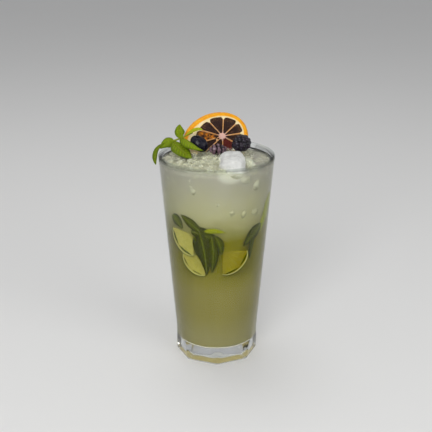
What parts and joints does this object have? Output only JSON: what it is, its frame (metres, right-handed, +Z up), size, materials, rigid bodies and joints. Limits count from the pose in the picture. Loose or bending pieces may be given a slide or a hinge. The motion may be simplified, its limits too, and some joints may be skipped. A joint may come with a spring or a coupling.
{
  "type": "mojito cocktail in a tall tumbler",
  "caption": "Cloudy iced mint and lime drink in a tall tapered tumbler with a faceted foot, topped with crushed ice, dried orange slice, dark berries and a mint sprig",
  "frame": {"origin": "the middle of the foot's underside, on the glass's own axis, where it stands on a table", "axes": "+Z up along the glass's axis; -Y is the front, where a corner of the foot is; +X is to the right of someone looking at the front"},
  "size_m": [0.0921, 0.0868, 0.1839],
  "materials": {
    "glass": "clear polished glass",
    "drink": "cloudy pale green liquid",
    "wet_ice": "wet crushed ice",
    "packed_ice": "white packed ice",
    "citrus": "dried citrus rind and flesh",
    "mint": "fresh leaf",
    "smooth_berry": "smooth dark skin with bloom",
    "bumpy_berry": "wet dark beads"
  },
  "bodies": {
    "root": {"glass": "glass", "drink": "drink", "crushed_ice": "wet_ice", "ice_lump": "packed_ice", "orange_slice": "citrus", "mint_sprig": "mint", "smooth_berry": "smooth_berry", "bumpy_berry": "bumpy_berry", "low_berry": "bumpy_berry"}
  },
  "joints": []
}
